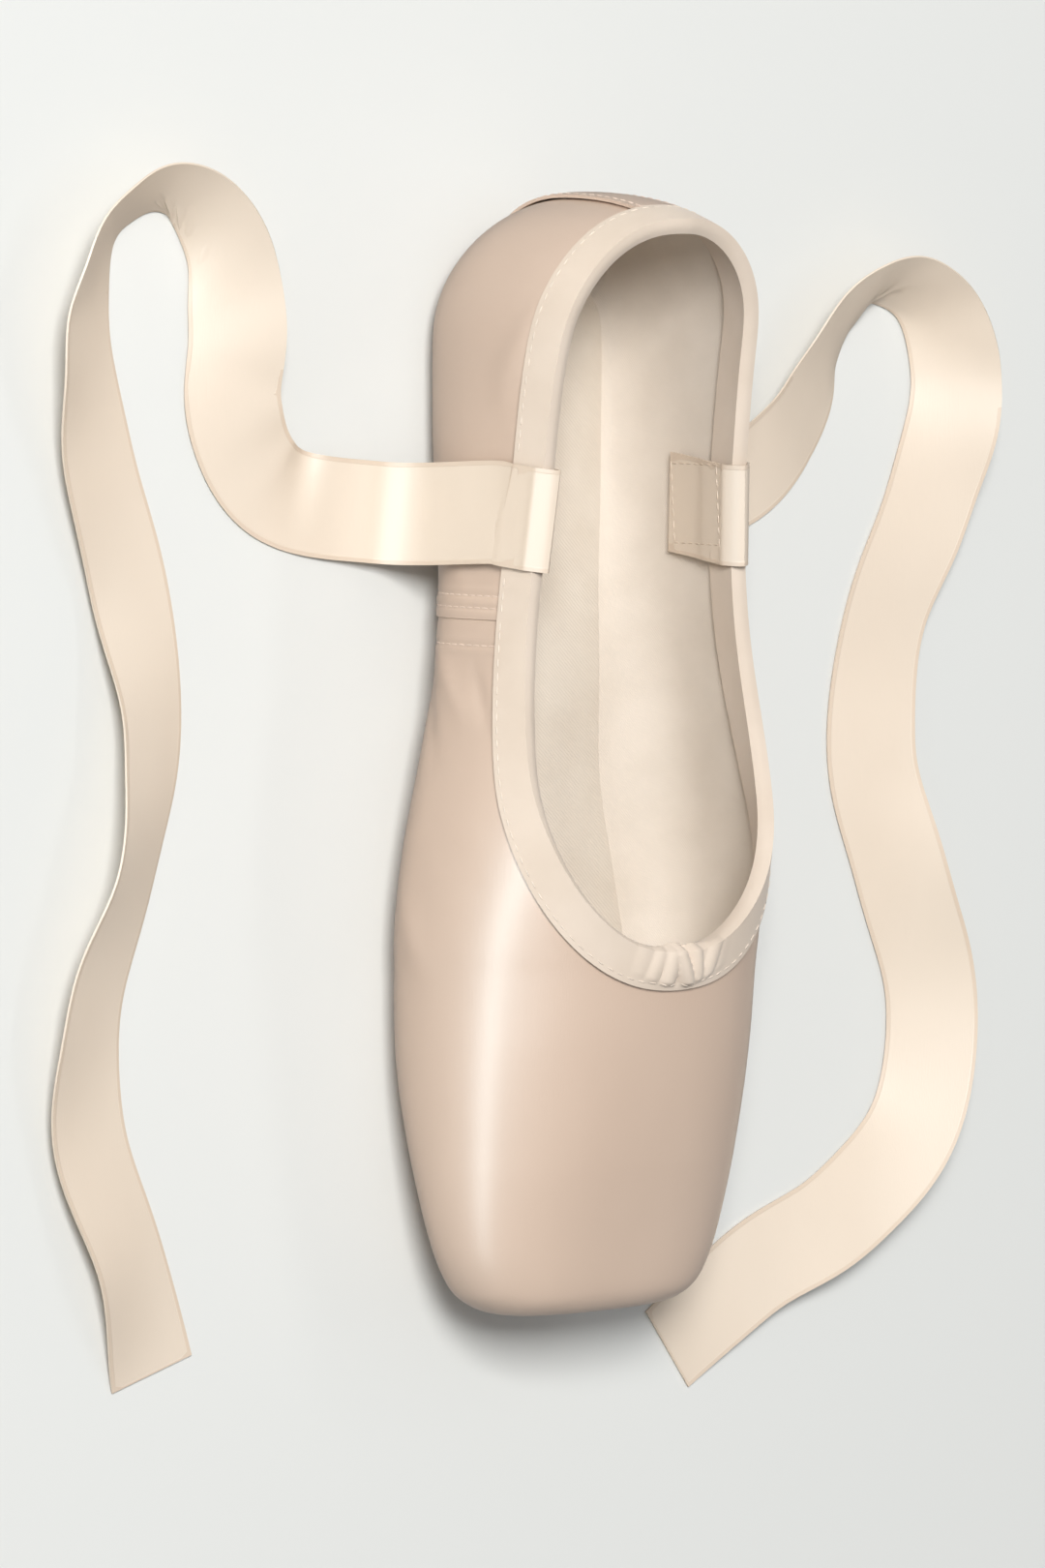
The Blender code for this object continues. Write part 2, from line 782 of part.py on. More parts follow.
def over_the_edge(side):
    """Where a ribbon runs up inside the quarter, over the binding and down outside it, and the
    direction of its width."""
    place = rear(RIBBON_SHARE)
    cut = section(place)
    edge = edge_point(place)
    width_way = (edge_point(place + RIBBON_WIDTH / 2) - edge_point(place - RIBBON_WIDTH / 2)).normalized()
    down = width_way.cross(skin_normal(edge)).normalized()
    outward = Vector((width_way.y, -width_way.x, 0)).normalized()
    play = RIBBON_PLAY + RIBBON_CLOTH / 2
    outer = BINDING_PLAY + BINDING_CLOTH + play
    fall = edge.z - cut.bulge
    top = edge - down * (outer + RIBBON_PLAY)
    beside = Vector((edge.x, edge.y, 0)) + outward * (cut.half - edge.x + play)
    points = [
        off_lining(edge + down * fall, play),
        off_lining(edge + down * (BINDING_BAND + RIBBON_BEND), 0.5 * (play + outer)),
        off_lining(edge + down * BINDING_BAND, outer),
        off_lining(edge + down * 0.3 * BINDING_BAND, outer),
        off_lining(edge, 0.95 * outer),
        top - outward * 0.5 * follow(WALLS, place),
        off_skin(edge, outer),
        off_skin(edge + down * 0.3 * BINDING_BAND, outer),
        off_skin(edge + down * BINDING_BAND, outer),
        off_skin(edge + down * (BINDING_BAND + RIBBON_BEND), outer),
        beside + outward * RIBBON_BEND + Vector((0, 0, 0.5 * cut.bulge)),
        beside + outward * 3 * RIBBON_BEND + Vector((0, 0, 0.15 * cut.bulge)),
    ]
    turned = Vector((side * width_way.x, width_way.y, width_way.z))
    return [Vector((side * point.x, point.y, point.z)) for point in points], turned


def make_ribbon(name, side, route, finish):
    """Ribbon from inside the quarter, over the binding and along the floor, tilted in its turns."""
    rise, width_way = over_the_edge(side)
    on_floor = [Vector((side * x, y, RIBBON_CLOTH)) for x, y, _ in route]
    line = smooth_line(rise + on_floor, RIBBON_STEPS)
    tilts = [0.0] * len(rise) + [math.radians(tilt) for _, _, tilt in route]
    landed = len(rise) * RIBBON_STEPS
    rows = []
    for k, point in enumerate(line):
        along = (line[min(k + 1, len(line) - 1)] - line[max(k - 1, 0)]).normalized()
        across_floor = Vector((-along.y, along.x, 0)) * side
        at = k / RIBBON_STEPS
        tilt_before, tilt_after = tilts[int(at)], tilts[min(int(at) + 1, len(tilts) - 1)]
        share = at - int(at)
        tilt = tilt_before + (tilt_after - tilt_before) * share * share * (3 - 2 * share)
        if k < landed:
            way = width_way
        else:
            way = across_floor.normalized() * math.cos(tilt) + Vector((0, 0, math.sin(tilt)))
        way = (way - along * way.dot(along)).normalized()
        if k >= landed - RIBBON_STEPS:
            point.z = RIBBON_CLOTH + RIBBON_WIDTH / 2 * abs(way.z) + max(point.z - RIBBON_CLOTH, 0)
        flat = along.cross(way).normalized() * (RIBBON_CLOTH / 2)
        reach = way * (RIBBON_WIDTH / 2)
        rows.append(
            [point - reach + flat, point + flat, point + reach + flat]
            + [point + reach - flat, point - flat, point - reach - flat]
        )
    add(name, half_mesh(name, rows, closed=True, capped=True), finish, mirrored=False)


for thing in list(bpy.data.objects):
    bpy.data.objects.remove(thing)

satin = material("pink_satin", (0.80, 0.62, 0.52), 0.35)
tape = material("cotton_tape", (0.86, 0.74, 0.62), 0.8)
leather = material("sole_leather", (0.74, 0.58, 0.42), 0.7)
board = material("insole_board", (0.70, 0.55, 0.42), 0.85)
ribbon_satin = material("ribbon_satin", (0.88, 0.76, 0.66), 0.4)

make_upper(satin)
make_outsole(leather)
make_insole(board)
make_binding(tape)
make_back_strip(satin)
make_ribbon("ribbon_right", -1, RIGHT_ROUTE, ribbon_satin)
make_ribbon("ribbon_left", 1, LEFT_ROUTE, ribbon_satin)
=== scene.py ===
"""Looks of the pointe shoe: satin upper with its pleats and seams, taped throat, scored leather
sole, lining, sock, heel strip and two ribbons.

Toe towards -Y, heel towards +Y, up +Z, in metres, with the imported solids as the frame.
"""

import json
import math
from collections import namedtuple

import bmesh
import bpy
from mathutils import Matrix, Vector
from mathutils.bvhtree import BVHTree

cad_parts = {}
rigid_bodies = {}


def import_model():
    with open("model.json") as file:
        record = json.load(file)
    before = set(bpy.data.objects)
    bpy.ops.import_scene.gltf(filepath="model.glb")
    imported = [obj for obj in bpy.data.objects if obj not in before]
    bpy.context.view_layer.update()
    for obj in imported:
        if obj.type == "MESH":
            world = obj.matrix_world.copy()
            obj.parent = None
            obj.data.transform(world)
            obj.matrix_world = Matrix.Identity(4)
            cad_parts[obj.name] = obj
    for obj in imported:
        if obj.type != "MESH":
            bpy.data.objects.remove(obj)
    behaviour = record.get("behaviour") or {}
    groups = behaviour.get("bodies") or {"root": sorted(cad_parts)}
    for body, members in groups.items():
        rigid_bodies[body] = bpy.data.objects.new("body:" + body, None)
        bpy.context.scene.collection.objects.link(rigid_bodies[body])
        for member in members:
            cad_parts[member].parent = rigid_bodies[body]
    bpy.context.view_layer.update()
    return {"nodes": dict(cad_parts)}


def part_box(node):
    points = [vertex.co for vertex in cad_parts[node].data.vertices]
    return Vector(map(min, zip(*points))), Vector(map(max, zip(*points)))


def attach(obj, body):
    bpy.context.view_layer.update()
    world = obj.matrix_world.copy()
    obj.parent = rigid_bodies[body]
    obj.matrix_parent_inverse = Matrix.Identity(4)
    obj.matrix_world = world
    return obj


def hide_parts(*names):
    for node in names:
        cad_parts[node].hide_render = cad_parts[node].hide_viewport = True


MM = 0.001

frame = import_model()

SOLE_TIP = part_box("outsole")[0].y

# Camera: the photograph's angle to the shoe, rolled so that the toe points down
VIEW_SIDE = math.radians(40)
VIEW_HEEL = math.radians(4)
VIEW_HEIGHT = 338 * MM
VIEW_DISTANCE = 1.7
VIEW_CENTRE = Vector((-0.016, -0.006, 0.024))
SENSOR = 36.0

# Floor and lights
FLOOR_SIZE = 6
FLOOR_COLOUR = (0.73, 0.735, 0.71, 1)
SKY_COLOUR = (0.95, 0.97, 1.0, 1)
SKY_STRENGTH = 0.26
LIGHT_AIM = Vector((0, 0, 30 * MM))
COOL = (0.80, 0.95, 1.0)

# Meshes: what is merged, what counts as a sharp edge, which triangles join to a four-sided face,
# how often an edge is cut in two at most, and what is shaded smooth
MERGE = 0.002 * MM
SHARP = math.radians(48)
SOLE_SHARP = math.radians(30)
QUAD_ANGLE = math.radians(40)
MOST_CUTS = 6
SMOOTH = math.radians(40)
SOLE_SMOOTH = math.radians(15)
STITCH_SMOOTH = math.radians(80)

# Places of the finishes on the upper and on the sole
SKIN = 1
UNDERSIDE = 1
SCORED = 2

# Satin beside the throat: the row of corners that is joined to the next one, and the stretch
# whose rows are levelled, with the two factors that take turns at it
CLOSE_ROW = (-42.2 * MM, -41.25 * MM)
LEVEL_MIDDLE = -38 * MM
LEVEL_REACH = 26 * MM
LEVEL_LOW = 9 * MM
LEVEL_ROUNDS = 12
LEVEL_IN = 0.5
LEVEL_OUT = -0.53

# Side seam: its place, the height of its fold and of the puffs beside its stitches, how far to
# both sides the satin is cut for them, and how much of it may look along the shoe
SEAM_Y = 30 * MM
SEAM_STEP = 0.35 * MM
SEAM_PUFF = 0.12 * MM
SEAM_REACH = 9 * MM
SEAM_FACING = 0.6
# In millimetres behind the seam: the fold's edge, where its flat top ends and where it has
# died away. The groove is in front of it, and a puff has its distance off the row and its width
FOLD_EDGE = 0.05
FOLD_TOP = 2
FOLD_END = 7
GROOVE = 1.5
GROOVE_SHARE = 0.4
PUFF_OFF = 1.2
PUFF_WIDTH = 0.5
# Rows of stitches beside the seam: how far behind it in millimetres, and between which heights
SEAM_ROWS = ((5.2, 0.006, 0.036), (2.6, 0.006, 0.036), (-5.4, 0.011, 0.034))
# Cuts across the satin that carry the fold and the puffs, in millimetres behind the seam
SEAM_CUTS = (
    *(-7.2, -6.6, -6.0, -5.4, -4.8, -4.2, -3.6),
    *(-0.2, 0.0, 0.2, 0.8, 1.4, 2.0, 2.6, 3.2, 3.9, 4.6, 5.2, 5.8, 6.4, 7.0),
)

# Ribbons: flat sizes, and the outer run that is moved clear of the binding, with the distance
# out and the height in millimetres at which the move starts, and over how many it grows
RIBBON_CLEAR = 0.3 * MM
CLEAR_OUT = 31.5
CLEAR_OUT_RANGE = 1.5
CLEAR_UP = 12
CLEAR_UP_RANGE = 6
# The angle that tells a ribbon's square edges, and between which shares of their mark the
# selvedge's line comes up
RIM_ANGLE = math.radians(84)
SELVEDGE_FROM = 0.62
SELVEDGE_FULL = 0.70

# Stitches: the size of one, the pitch of each row, and how far the rows are from the edges
STITCH_LENGTH = 1.9 * MM
STITCH_THICK = 0.36 * MM
HEM_PITCH = 2.9 * MM
SEAM_PITCH = 2.4 * MM
STRIP_PITCH = 2.6 * MM
RIBBON_PITCH = 2.6 * MM
HEM = 1.2 * MM
UNDER_RIBBON = 1.5 * MM
STRIP_ROW = 5.0 * MM
STRIP_FOOT = 2 * MM
STRIP_ENDS = 3 * MM
RIBBON_INSIDE = 31 * MM
RIBBON_MARGIN = 2.5 * MM
# From the middle of the hem to the place that its stitches lie towards, up in the tape
HEM_AIM = Vector((0, 0, 30 * MM))
# Rays that find the satin: where they start beside the shoe and behind it, and how many
SIDE_START = 60 * MM
BACK_START = 20 * MM
SEAM_RAYS = 40
STRIP_RAYS = 60
RIBBON_RAYS = 24

# Scored lines of the sole
SCORE_SPACING = 7.7 * MM
SCORE_WIDTH = 0.9 * MM
SCORE_DEPTH = 0.18 * MM
SCORE_START = 66 * MM
ON_SCORE = 0.02 * MM

Pleat = namedtuple("Pleat", "foot_x foot_y tip_x tip_y side height width curve")
Crease = namedtuple("Crease", "side start end height width")
Bunch = namedtuple("Bunch", "x lean width height")
Score = namedtuple("Score", "angle side count")

# Folds of satin from the tip of the sole towards the platform, in plan, in millimetres.
# The foot is at the sole, the tip is where the fold dies away, side is the way that it lies
# over and curve is how far its middle is off the straight line
PLEATS = (
    Pleat(22.0, 21.0, 27.5, 12.0, 1, 0.9, 4.0, 0.5),
    Pleat(19.5, 14.5, 26.0, 4.0, 1, 1.0, 4.4, 0.7),
    Pleat(15.8, 8.5, 23.0, -9.5, 1, 1.7, 6.5, -0.8),
    Pleat(10.8, 4.5, 17.0, -20.5, -1, 1.8, 7.0, -0.9),
    Pleat(-1.5, 1.0, -1.6, -21.5, -1, 1.7, 5.0, 1.2),
    Pleat(-4.9, 1.6, -8.0, -15.5, 1, 1.5, 2.4, -0.8),
    Pleat(-8.0, 3.0, -15.5, -21.0, 1, 1.8, 4.6, -1.0),
    Pleat(-12.0, 5.6, -20.0, -14.5, 1, 1.6, 4.4, -0.9),
    Pleat(-17.0, 10.6, -25.0, -3.5, 1, 1.2, 4.2, 0.6),
    Pleat(-21.5, 19.0, -27.5, 8.5, 1, 0.9, 3.6, 0.4),
)
# How far a pleat runs in under the sole, the shares of its width at the foot and gained at the
# tip, and how its back falls away. Its front drops over the first length and its furrow fills
# over the second, both in millimetres
PLEAT_RUN_IN = 0.7
PLEAT_FOOT = 0.8
PLEAT_SPREAD = 0.5
PLEAT_BACK = 1.6
PLEAT_DROP = 1.1
PLEAT_LIP = 2.4
PLEAT_FURROW = 0.3
PLEAT_CELL = 0.45 * MM
# Satin under the toe: how far behind the sole's tip and how high it reaches, and how much its
# faces look down. The pleats start at a face that looks down a little and grow over a range
TOE_REACH = 24 * MM
TOE_HEIGHT = 24 * MM
TOE_FACING = -0.12
DOWN_FROM = 0.05
DOWN_RANGE = 0.5

# Soft ridges (height above 0) and troughs in the sides: ends along the shoe and up, in millimetres
CREASES = (
    Crease(-1, (25, 13), (7, 29), 0.68, 2.0),
    Crease(-1, (21, 9), (-3, 21), -0.60, 2.6),
    Crease(-1, (22, 27), (5, 36), -0.45, 1.8),
    Crease(-1, (46, 8), (39, 25), 0.60, 2.6),
    Crease(-1, (60, 7), (53, 20), -0.52, 3.2),
    Crease(-1, (76, 30), (100, 45), 0.60, 3.6),
    Crease(-1, (-24, 11), (-49, 24), 0.45, 3.4),
    Crease(1, (26, 12), (9, 31), 0.68, 2.2),
    Crease(1, (19, 8), (-6, 19), -0.60, 2.4),
    Crease(1, (47, 10), (41, 27), -0.52, 2.6),
    Crease(1, (58, 8), (50, 24), 0.60, 2.8),
    Crease(1, (80, 28), (101, 44), -0.52, 3.2),
    Crease(1, (-28, 10), (-51, 22), -0.45, 3.4),
)

# How much the satin has to look sideways for a crease, and over what range it grows
CREASE_FACING = 0.3
CREASE_RANGE = 0.4

# Crossed lines scored into the sole under the ball: their angle from the shoe's middle line,
# the side that they move to from the first one, and how many there are
SCORES = (
    Score(math.radians(34), 1, 9),
    Score(math.radians(48), -1, 9),
)


def deselect():
    for thing in list(bpy.context.selected_objects):
        thing.select_set(False)


def take_up(piece):
    """Makes a piece the only one that is selected, and the active one."""
    deselect()
    piece.select_set(True)
    bpy.context.view_layer.objects.active = piece


def edit(piece, mode="FACE"):
    take_up(piece)
    bpy.ops.object.mode_set(mode="EDIT")
    bpy.ops.mesh.select_mode(type=mode)
    bpy.ops.mesh.select_all(action="DESELECT")


def done():
    bpy.ops.object.mode_set(mode="OBJECT")


def select_faces(piece, wanted):
    """Selects in edit mode the faces that wanted(face) says yes to."""
    form = bmesh.from_edit_mesh(piece.data)
    form.normal_update()
    for face in form.faces:
        face.select_set(bool(wanted(face)))
    form.select_flush_mode()
    bmesh.update_edit_mesh(piece.data)


def copy_of(node, name, levels, sharp=SHARP):
    """A finer copy of a CAD node: four-sided faces, its sharp edges kept, subdivided."""
    piece = bpy.data.objects.new(name, frame["nodes"][node].data.copy())
    bpy.context.scene.collection.objects.link(piece)
    piece.data.materials.clear()
    edit(piece, "VERT")
    bpy.ops.mesh.select_all(action="SELECT")
    bpy.ops.mesh.remove_doubles(threshold=MERGE)
    bpy.ops.mesh.customdata_custom_splitnormals_clear()
    bpy.ops.mesh.tris_convert_to_quads(face_threshold=QUAD_ANGLE, shape_threshold=math.pi)
    bpy.ops.mesh.select_mode(type="EDGE")
    bpy.ops.mesh.select_all(action="DESELECT")
    bpy.ops.mesh.edges_select_sharp(sharpness=sharp)
    bpy.ops.transform.edge_crease(value=1)
    bpy.ops.mesh.mark_seam(clear=False)
    done()
    if levels:
        add_and_apply(piece, "SUBSURF", levels=levels, render_levels=levels)
    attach(piece, "root")
    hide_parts(node)
    return piece


def cover(piece, first, slot):
    """Gives one slot to all faces that hang together with the first, up to the sharp edges."""
    edit(piece)
    form = bmesh.from_edit_mesh(piece.data)
    min(form.faces, key=first).select_set(True)
    bmesh.update_edit_mesh(piece.data)
    bpy.ops.mesh.select_linked(delimit={"SEAM"})
    piece.active_material_index = slot
    bpy.ops.object.material_slot_assign()
    done()


def refine(piece, wanted, longest):
    """Cuts edges in two, for as long as they are too long, where wanted(face) says yes."""
    edit(piece, "EDGE")
    for _ in range(MOST_CUTS):
        form = bmesh.from_edit_mesh(piece.data)
        form.normal_update()
        bpy.ops.mesh.select_all(action="DESELECT")
        near = {edge for face in form.faces if wanted(face) for edge in face.edges}
        long_ones = [edge for edge in near if edge.calc_length() > longest]
        if not long_ones:
            break
        for edge in long_ones:
            edge.select_set(True)
        bmesh.update_edit_mesh(piece.data)
        bpy.ops.mesh.subdivide(number_cuts=1, smoothness=0)
    done()


def add_and_apply(piece, kind, **settings):
    take_up(piece)
    modifier = piece.modifiers.new(kind.title(), kind)
    for setting, value in settings.items():
        setattr(modifier, setting, value)
    bpy.ops.object.modifier_apply(modifier=modifier.name)


def smooth(piece, angle=SMOOTH):
    take_up(piece)
    bpy.ops.object.shade_smooth_by_angle(angle=angle)


def at_sharp_edge(face):
    """Whether a face touches one of its piece's sharp edges."""
    return any(edge.seam for corner in face.verts for edge in corner.link_edges)


def press(piece, relief, corners=None):
    """Moves corners along their normals by relief(place, normal)."""
    mesh = piece.data
    chosen = range(len(mesh.vertices)) if corners is None else sorted(corners)
    moves = []
    for k in chosen:
        corner = mesh.vertices[k]
        moves.append((k, corner.normal * relief(corner.co, corner.normal)))
    for k, move in moves:
        mesh.vertices[k].co += move
    mesh.update()


def ease(share):
    """0 at 0 and 1 at 1, level at both."""
    share = min(max(share, 0.0), 1.0)
    return share * share * (3 - 2 * share)


# Materials

def new_material(name):
    finish = bpy.data.materials.new(name)
    finish.use_nodes = True
    return finish, finish.node_tree.nodes, finish.node_tree.links


def pattern(nodes, links, kind, scale, stretch=(1, 1, 1), **settings):
    """A procedural texture on the piece's own Object coordinates."""
    place = nodes.new("ShaderNodeTexCoord")
    mapping = nodes.new("ShaderNodeMapping")
    mapping.inputs["Scale"].default_value = stretch
    texture = nodes.new(kind)
    texture.inputs["Scale"].default_value = scale
    for setting, value in settings.items():
        texture.inputs[setting].default_value = value
    links.new(place.outputs["Object"], mapping.inputs["Vector"])
    links.new(mapping.outputs["Vector"], texture.inputs["Vector"])
    return texture


def ramp(nodes, links, source, low, high, start=0.3, end=0.65):
    """A blend from one colour to the other over a range of the source."""
    blend = nodes.new("ShaderNodeMapRange")
    blend.inputs["From Min"].default_value = start
    blend.inputs["From Max"].default_value = end
    mix = nodes.new("ShaderNodeMix")
    mix.data_type = "RGBA"
    mix.inputs["A"].default_value = (*low, 1)
    mix.inputs["B"].default_value = (*high, 1)
    links.new(source, blend.inputs["Value"])
    links.new(blend.outputs["Result"], mix.inputs["Factor"])
    return mix.outputs["Result"]


def bump(nodes, links, height, strength, distance, below=None):
    relief = nodes.new("ShaderNodeBump")
    relief.inputs["Strength"].default_value = strength
    relief.inputs["Distance"].default_value = distance
    links.new(height, relief.inputs["Height"])
    if below is not None:
        links.new(below, relief.inputs["Normal"])
    return relief.outputs["Normal"]


# How much smoother and rougher than the satin its single threads are
THREAD_GLOSS = 0.05


def satin(name, light, deep, roughness, sheen):
    """Satin: long fine floats of thread along the shoe, and a soft uneven tone."""
    finish, nodes, links = new_material(name)
    shader = nodes["Principled BSDF"]
    threads = pattern(nodes, links, "ShaderNodeTexNoise", 1.0, stretch=(3400, 160, 3400), Detail=2.0)
    cloud = pattern(nodes, links, "ShaderNodeTexNoise", 22.0, stretch=(1, 0.5, 1), Detail=3.0)
    slubs = pattern(nodes, links, "ShaderNodeTexNoise", 1.0, stretch=(900, 30, 900), Detail=1.0)
    tone = ramp(nodes, links, cloud.outputs["Fac"], deep, light, end=0.62)
    links.new(tone, shader.inputs["Base Color"])
    gloss = nodes.new("ShaderNodeMapRange")
    gloss.inputs["To Min"].default_value = roughness - THREAD_GLOSS
    gloss.inputs["To Max"].default_value = roughness + THREAD_GLOSS
    links.new(threads.outputs["Fac"], gloss.inputs["Value"])
    links.new(gloss.outputs["Result"], shader.inputs["Roughness"])
    coarse = bump(nodes, links, slubs.outputs["Fac"], strength=0.08, distance=0.05 * MM)
    fine = bump(nodes, links, threads.outputs["Fac"], strength=0.45, distance=0.05 * MM, below=coarse)
    links.new(fine, shader.inputs["Normal"])
    shader.inputs["Specular IOR Level"].default_value = 0.6
    shader.inputs["Coat Weight"].default_value = sheen
    shader.inputs["Coat Roughness"].default_value = 0.34
    return finish


def ribbon_satin(light, deep, selvedge):
    """Softer satin, with a firm woven line along both edges."""
    finish = satin("ribbon_satin", light, deep, roughness=0.48, sheen=0.08)
    nodes, links = finish.node_tree.nodes, finish.node_tree.links
    shader = nodes["Principled BSDF"]
    shader.inputs["Specular IOR Level"].default_value = 0.4
    rim = nodes.new("ShaderNodeAttribute")
    rim.attribute_name = "rim"
    line = nodes.new("ShaderNodeMapRange")
    line.inputs["From Min"].default_value = SELVEDGE_FROM
    line.inputs["From Max"].default_value = SELVEDGE_FULL
    links.new(rim.outputs["Fac"], line.inputs["Value"])
    body = shader.inputs["Base Color"].links[0].from_socket
    mix = nodes.new("ShaderNodeMix")
    mix.data_type = "RGBA"
    mix.inputs["B"].default_value = (*selvedge, 1)
    links.new(line.outputs["Result"], mix.inputs["Factor"])
    links.new(body, mix.inputs["A"])
    links.new(mix.outputs["Result"], shader.inputs["Base Color"])
    below = shader.inputs["Normal"].links[0].from_socket
    relief = bump(nodes, links, line.outputs["Result"], strength=0.5, distance=0.12 * MM, below=below)
    links.new(relief, shader.inputs["Normal"])
    return finish


def cotton(name, light, deep, weave, depth):
    """Matt cotton with a nap, and a twill line where the scale of a weave is given."""
    finish, nodes, links = new_material(name)
    shader = nodes["Principled BSDF"]
    cloud = pattern(nodes, links, "ShaderNodeTexNoise", 60.0, Detail=4.0)
    tone = ramp(nodes, links, cloud.outputs["Fac"], deep, light)
    links.new(tone, shader.inputs["Base Color"])
    nap = pattern(nodes, links, "ShaderNodeTexNoise", 2600.0, Detail=2.0)
    relief = bump(nodes, links, nap.outputs["Fac"], strength=0.3, distance=depth)
    if weave:
        scales = (weave, weave, weave)
        warp = pattern(nodes, links, "ShaderNodeTexWave", 1.0, stretch=scales, Distortion=1.2, Detail=1.0)
        warp.bands_direction = "DIAGONAL"
        relief = bump(nodes, links, warp.outputs["Fac"], strength=0.5, distance=depth, below=relief)
    links.new(relief, shader.inputs["Normal"])
    shader.inputs["Roughness"].default_value = 0.85
    shader.inputs["Sheen Weight"].default_value = 0.15
    shader.inputs["Specular IOR Level"].default_value = 0.3
    return finish


# Where the sole darkens along the shoe, and the tone of its smudges
WAIST = (6 * MM, 34 * MM)
SMUDGE = (0.80, 0.77, 0.74)


def sole_leather(name, front, heel):
    """Buff leather, darker from the waist back, with smudges and a fine grain."""
    finish, nodes, links = new_material(name)
    shader = nodes["Principled BSDF"]
    where = nodes.new("ShaderNodeTexCoord")
    split = nodes.new("ShaderNodeSeparateXYZ")
    links.new(where.outputs["Object"], split.inputs["Vector"])
    body = ramp(nodes, links, split.outputs["Y"], front, heel, start=WAIST[0], end=WAIST[1])
    smudge = pattern(
        nodes,
        links,
        "ShaderNodeTexNoise",
        55.0,
        stretch=(1, 0.6, 1),
        Detail=6.0,
        Roughness=0.65,
    )
    worn = nodes.new("ShaderNodeMix")
    worn.data_type = "RGBA"
    worn.blend_type = "MULTIPLY"
    spots = ramp(nodes, links, smudge.outputs["Fac"], SMUDGE, (1, 1, 1), end=0.52)
    worn.inputs["Factor"].default_value = 0.6
    links.new(body, worn.inputs["A"])
    links.new(spots, worn.inputs["B"])
    links.new(worn.outputs["Result"], shader.inputs["Base Color"])
    grain = pattern(nodes, links, "ShaderNodeTexVoronoi", 1500.0)
    fibres = pattern(nodes, links, "ShaderNodeTexNoise", 500.0, Detail=5.0)
    soft = bump(nodes, links, fibres.outputs["Fac"], strength=0.35, distance=0.08 * MM)
    relief = bump(nodes, links, grain.outputs["Distance"], strength=0.25, distance=0.06 * MM, below=soft)
    links.new(relief, shader.inputs["Normal"])
    shader.inputs["Roughness"].default_value = 0.72
    shader.inputs["Specular IOR Level"].default_value = 0.35
    return finish


# Share of a plain colour's light in its darker spots
DARKER = 0.82


def plain(name, colour, roughness):
    """One colour with slightly darker spots, for threads and cut edges."""
    finish, nodes, links = new_material(name)
    shader = nodes["Principled BSDF"]
    cloud = pattern(nodes, links, "ShaderNodeTexNoise", 300.0, Detail=3.0)
    darker = tuple(DARKER * part for part in colour)
    tone = ramp(nodes, links, cloud.outputs["Fac"], darker, colour, end=0.7)
    links.new(tone, shader.inputs["Base Color"])
    shader.inputs["Roughness"].default_value = roughness
    return finish


# Camera, floor and lights

def camera_axes():
    """Right, up and back of the camera, the shoe's middle plane upright in the picture."""
    back = Vector((-math.sin(VIEW_SIDE), math.tan(VIEW_HEEL), math.cos(VIEW_SIDE))).normalized()
    up = (Vector((0, 1, 0)) - back * back.y).normalized()
    right = up.cross(back)
    return right, up, back


def make_camera():
    right, up, back = camera_axes()
    lens = bpy.data.cameras.new("camera")
    lens.sensor_fit = "VERTICAL"
    lens.sensor_height = SENSOR
    lens.lens = SENSOR * VIEW_DISTANCE / VIEW_HEIGHT
    camera = bpy.data.objects.new("camera", lens)
    bpy.context.scene.collection.objects.link(camera)
    turn = Matrix((right, up, back)).transposed().to_4x4()
    camera.matrix_world = Matrix.Translation(VIEW_CENTRE + back * VIEW_DISTANCE) @ turn
    bpy.context.scene.camera = camera


def make_floor():
    deselect()
    bpy.ops.mesh.primitive_plane_add(size=FLOOR_SIZE, location=(0, 0, 0))
    floor = bpy.context.object
    floor.name = "floor"
    finish, nodes, _ = new_material("pale_floor")
    shader = nodes["Principled BSDF"]
    shader.inputs["Base Color"].default_value = FLOOR_COLOUR
    shader.inputs["Roughness"].default_value = 0.9
    shader.inputs["Specular IOR Level"].default_value = 0.0
    floor.data.materials.append(finish)
    floor.visible_glossy = False


def add_light(name, towards, distance, size, power, length=None, gloss_only=False):
    """A soft light whose direction from the shoe is given to the camera's right, up and back. One
    for gloss alone is cool and adds nothing to the matt light on the pieces."""
    right, up, back = camera_axes()
    way = (right * towards[0] + up * towards[1] + back * towards[2]).normalized()
    panel = bpy.data.lights.new(name, "AREA")
    panel.energy = power
    panel.size = size
    if length:
        panel.shape = "RECTANGLE"
        panel.size_y = length
    light = bpy.data.objects.new(name, panel)
    bpy.context.scene.collection.objects.link(light)
    side = up.cross(way).normalized()
    turn = Matrix((side, way.cross(side), way)).transposed().to_4x4()
    light.matrix_world = Matrix.Translation(LIGHT_AIM + way * distance) @ turn
    if gloss_only:
        panel.color = COOL
        light.visible_diffuse = False


def make_lights():
    world = bpy.data.worlds.new("studio")
    world.use_nodes = True
    sky = world.node_tree.nodes["Background"]
    sky.inputs["Color"].default_value = SKY_COLOUR
    sky.inputs["Strength"].default_value = SKY_STRENGTH
    bpy.context.scene.world = world
    bpy.context.scene.view_settings.view_transform = "Standard"
    add_light("key", (0.12, 0.25, 1.0), distance=2.6, size=0.8, power=71)
    add_light("glow", (-0.22, 0.20, 1.0), distance=2.2, size=1.0, power=60, gloss_only=True)
    add_light(
        "strip",
        (-0.61, -0.12, 0.79),
        distance=1.1,
        size=0.22,
        power=12.5,
        length=1.3,
        gloss_only=True,
    )
    add_light("rim", (0.95, 0.2, 0.25), distance=1.4, size=0.12, power=1.6, length=1.0)


# Upper

